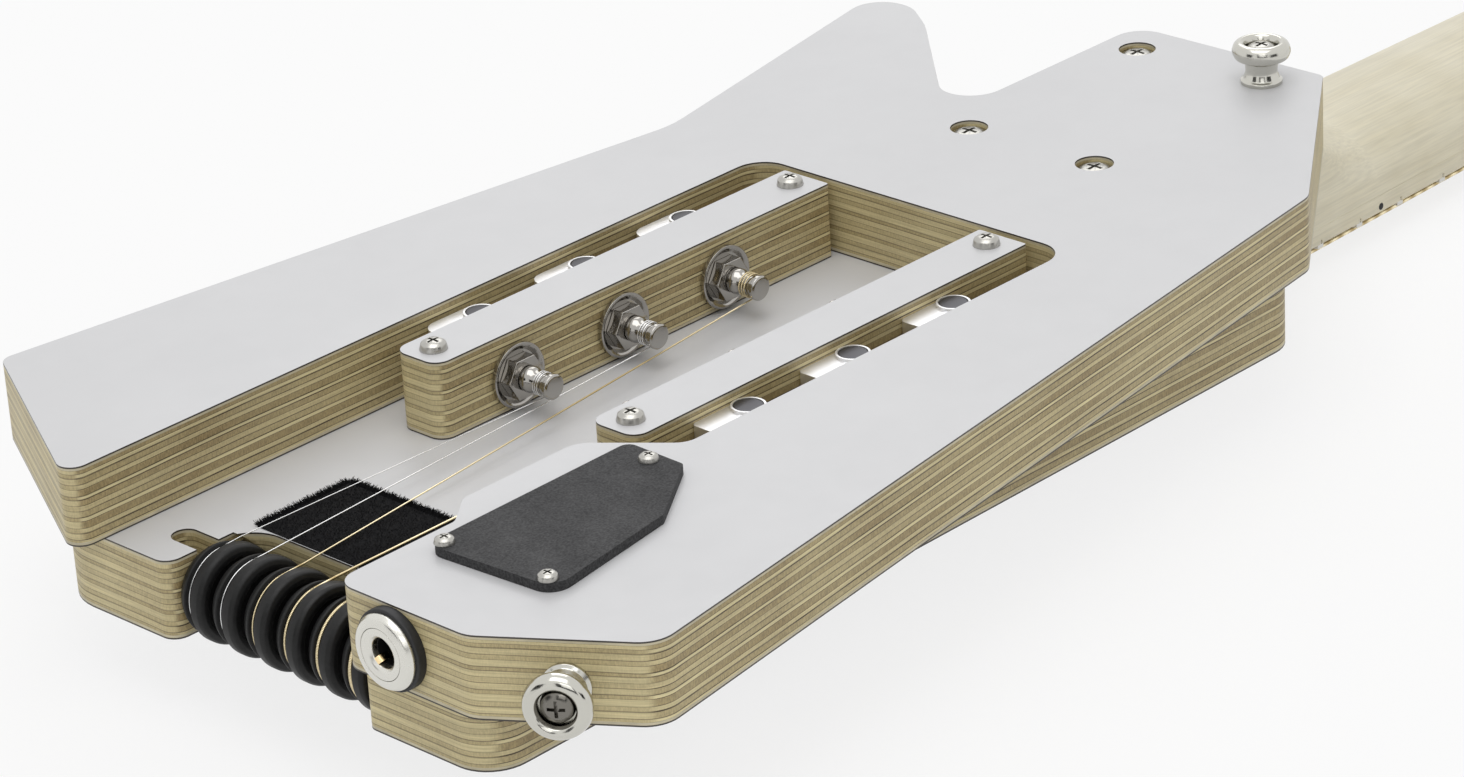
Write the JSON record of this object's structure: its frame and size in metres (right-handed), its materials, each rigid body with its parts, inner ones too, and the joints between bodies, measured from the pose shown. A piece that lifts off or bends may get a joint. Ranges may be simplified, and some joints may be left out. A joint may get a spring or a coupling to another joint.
{
  "type": "travel guitar",
  "caption": "Compact electric guitar without a headstock: two stacked plywood slabs with white faces, strings run over black rollers to tuners inside the body.",
  "frame": {"origin": "middle of the guitar's footprint, on the surface that it lies on face down", "axes": "+X along the neck towards its head end, +Y towards the treble side, +Z from the strings up to the back faces"},
  "size_m": [0.7118, 0.2234, 0.0699],
  "materials": {
    "plywood": "clear lacquer over plywood edges",
    "laminate": "satin white high-pressure laminate",
    "maple": "satin maple",
    "fret_wire": "polished nickel silver",
    "bone": "matt",
    "steel": "bright zinc",
    "nickel": "polished nickel",
    "chrome": "polished chrome",
    "dark_chrome": "smoked chrome",
    "black_rubber": "satin",
    "black_plastic": "glossy",
    "cover_plastic": "fine texture",
    "black_metal": "satin powder coat",
    "felt": "hook-and-loop pile",
    "string_steel": "plain steel",
    "string_bronze": "bronze wound"
  },
  "bodies": {
    "guitar_body": {"front_core": "plywood", "front_laminates": "laminate", "rear_core": "plywood", "rear_laminates": "laminate", "treble_tuner_rail": "plywood", "bass_tuner_rail": "plywood", "rail_laminates": "laminate", "body_screws": "steel", "neck": "maple", "fretboard": "maple", "frets": "fret_wire", "nut": "bone", "truss_rod": "steel", "string_retainer": "black_metal", "retainer_screws": "steel", "neck_bolts": "steel", "strap_buttons": "nickel", "tail_strap_screw": "steel", "control_cover": "cover_plastic", "small_screws": "steel", "output_jack": "nickel", "jack_nut": "nickel", "jack_washer": "black_rubber", "bridge_plate": "black_metal", "intonation_screws": "steel", "pickup": "black_plastic", "control_pots": "steel", "roller_axle": "steel", "felt_pad": "felt", "plain_strings": "string_steel", "wound_strings": "string_bronze", "tuner_housings": "chrome", "tuner_washers": "chrome", "tuner_nuts": "chrome"},
    "roller_1_body": {"roller_1": "black_plastic"},
    "roller_2_body": {"roller_2": "black_plastic"},
    "roller_3_body": {"roller_3": "black_plastic"},
    "roller_4_body": {"roller_4": "black_plastic"},
    "roller_5_body": {"roller_5": "black_plastic"},
    "roller_6_body": {"roller_6": "black_plastic"},
    "tuner_post_1_body": {"tuner_post_1": "chrome"},
    "tuner_key_1_body": {"tuner_key_1": "dark_chrome"},
    "tuner_post_2_body": {"tuner_post_2": "chrome"},
    "tuner_key_2_body": {"tuner_key_2": "dark_chrome"},
    "tuner_post_3_body": {"tuner_post_3": "chrome"},
    "tuner_key_3_body": {"tuner_key_3": "dark_chrome"},
    "tuner_post_4_body": {"tuner_post_4": "chrome"},
    "tuner_key_4_body": {"tuner_key_4": "dark_chrome"},
    "tuner_post_5_body": {"tuner_post_5": "chrome"},
    "tuner_key_5_body": {"tuner_key_5": "dark_chrome"},
    "tuner_post_6_body": {"tuner_post_6": "chrome"},
    "tuner_key_6_body": {"tuner_key_6": "dark_chrome"},
    "saddle_1_body": {"saddle_1": "steel"},
    "saddle_2_body": {"saddle_2": "steel"},
    "saddle_3_body": {"saddle_3": "steel"},
    "saddle_4_body": {"saddle_4": "steel"},
    "saddle_5_body": {"saddle_5": "steel"},
    "saddle_6_body": {"saddle_6": "steel"},
    "volume_knob_body": {"volume_knob": "black_plastic"},
    "tone_knob_body": {"tone_knob": "black_plastic"}
  },
  "joints": [
    {"name": "roller_1_spin", "type": "hinge", "parent": "guitar_body", "child": "roller_1_body", "pos_m": [-0.33103, 0.02527, 0.0285], "axis": [0, 1, 0], "continuous": true},
    {"name": "roller_2_spin", "type": "hinge", "parent": "guitar_body", "child": "roller_2_body", "pos_m": [-0.33103, 0.01457, 0.0285], "axis": [0, 1, 0], "continuous": true},
    {"name": "roller_3_spin", "type": "hinge", "parent": "guitar_body", "child": "roller_3_body", "pos_m": [-0.33103, 0.00387, 0.0285], "axis": [0, 1, 0], "continuous": true},
    {"name": "roller_4_spin", "type": "hinge", "parent": "guitar_body", "child": "roller_4_body", "pos_m": [-0.33103, -0.00683, 0.0285], "axis": [0, 1, 0], "continuous": true},
    {"name": "roller_5_spin", "type": "hinge", "parent": "guitar_body", "child": "roller_5_body", "pos_m": [-0.33103, -0.01753, 0.0285], "axis": [0, 1, 0], "continuous": true},
    {"name": "roller_6_spin", "type": "hinge", "parent": "guitar_body", "child": "roller_6_body", "pos_m": [-0.33103, -0.02823, 0.0285], "axis": [0, 1, 0], "continuous": true},
    {"name": "tuner_post_1_turn", "type": "hinge", "parent": "guitar_body", "child": "tuner_post_1_body", "pos_m": [-0.23733, 0.02512, 0.0473], "axis": [0, 1, 0], "continuous": true},
    {"name": "tuner_key_1_turn", "type": "hinge", "parent": "guitar_body", "child": "tuner_key_1_body", "pos_m": [-0.22962, 0.04432, 0.0473], "axis": [0, 0, 1], "continuous": true},
    {"name": "tuner_post_2_turn", "type": "hinge", "parent": "guitar_body", "child": "tuner_post_2_body", "pos_m": [-0.20172, 0.02512, 0.0473], "axis": [0, 1, 0], "continuous": true},
    {"name": "tuner_key_2_turn", "type": "hinge", "parent": "guitar_body", "child": "tuner_key_2_body", "pos_m": [-0.19403, 0.04432, 0.0473], "axis": [0, 0, 1], "continuous": true},
    {"name": "tuner_post_3_turn", "type": "hinge", "parent": "guitar_body", "child": "tuner_post_3_body", "pos_m": [-0.16612, 0.02512, 0.0473], "axis": [0, 1, 0], "continuous": true},
    {"name": "tuner_key_3_turn", "type": "hinge", "parent": "guitar_body", "child": "tuner_key_3_body", "pos_m": [-0.15843, 0.04432, 0.0473], "axis": [0, 0, 1], "continuous": true},
    {"name": "tuner_post_4_turn", "type": "hinge", "parent": "guitar_body", "child": "tuner_post_4_body", "pos_m": [-0.16612, -0.02468, 0.0473], "axis": [0, 1, 0], "continuous": true},
    {"name": "tuner_key_4_turn", "type": "hinge", "parent": "guitar_body", "child": "tuner_key_4_body", "pos_m": [-0.15843, -0.04388, 0.0473], "axis": [0, 0, 1], "continuous": true},
    {"name": "tuner_post_5_turn", "type": "hinge", "parent": "guitar_body", "child": "tuner_post_5_body", "pos_m": [-0.20172, -0.02468, 0.0473], "axis": [0, 1, 0], "continuous": true},
    {"name": "tuner_key_5_turn", "type": "hinge", "parent": "guitar_body", "child": "tuner_key_5_body", "pos_m": [-0.19403, -0.04388, 0.0473], "axis": [0, 0, 1], "continuous": true},
    {"name": "tuner_post_6_turn", "type": "hinge", "parent": "guitar_body", "child": "tuner_post_6_body", "pos_m": [-0.23733, -0.02468, 0.0473], "axis": [0, 1, 0], "continuous": true},
    {"name": "tuner_key_6_turn", "type": "hinge", "parent": "guitar_body", "child": "tuner_key_6_body", "pos_m": [-0.22962, -0.04388, 0.0473], "axis": [0, 0, 1], "continuous": true},
    {"name": "saddle_1_slide", "type": "slide", "parent": "guitar_body", "child": "saddle_1_body", "axis": [1, 0, 0], "range_m": [-0.003, 0.003]},
    {"name": "saddle_2_slide", "type": "slide", "parent": "guitar_body", "child": "saddle_2_body", "axis": [1, 0, 0], "range_m": [-0.003, 0.003]},
    {"name": "saddle_3_slide", "type": "slide", "parent": "guitar_body", "child": "saddle_3_body", "axis": [1, 0, 0], "range_m": [-0.003, 0.003]},
    {"name": "saddle_4_slide", "type": "slide", "parent": "guitar_body", "child": "saddle_4_body", "axis": [1, 0, 0], "range_m": [-0.003, 0.003]},
    {"name": "saddle_5_slide", "type": "slide", "parent": "guitar_body", "child": "saddle_5_body", "axis": [1, 0, 0], "range_m": [-0.003, 0.003]},
    {"name": "saddle_6_slide", "type": "slide", "parent": "guitar_body", "child": "saddle_6_body", "axis": [1, 0, 0], "range_m": [-0.003, 0.003]},
    {"name": "volume_turn", "type": "hinge", "parent": "guitar_body", "child": "volume_knob_body", "pos_m": [-0.31072, -0.05228, 0.0145], "axis": [0, 0, -1], "range_deg": [0, 270]},
    {"name": "tone_turn", "type": "hinge", "parent": "guitar_body", "child": "tone_knob_body", "pos_m": [-0.29073, -0.05228, 0.0145], "axis": [0, 0, -1], "range_deg": [0, 270]}
  ],
  "couplings": [
    {"joint": "tuner_post_1_turn", "follows": "tuner_key_1_turn", "ratio": 0.071429},
    {"joint": "tuner_post_2_turn", "follows": "tuner_key_2_turn", "ratio": 0.071429},
    {"joint": "tuner_post_3_turn", "follows": "tuner_key_3_turn", "ratio": 0.071429},
    {"joint": "tuner_post_4_turn", "follows": "tuner_key_4_turn", "ratio": -0.071429},
    {"joint": "tuner_post_5_turn", "follows": "tuner_key_5_turn", "ratio": -0.071429},
    {"joint": "tuner_post_6_turn", "follows": "tuner_key_6_turn", "ratio": -0.071429}
  ]
}
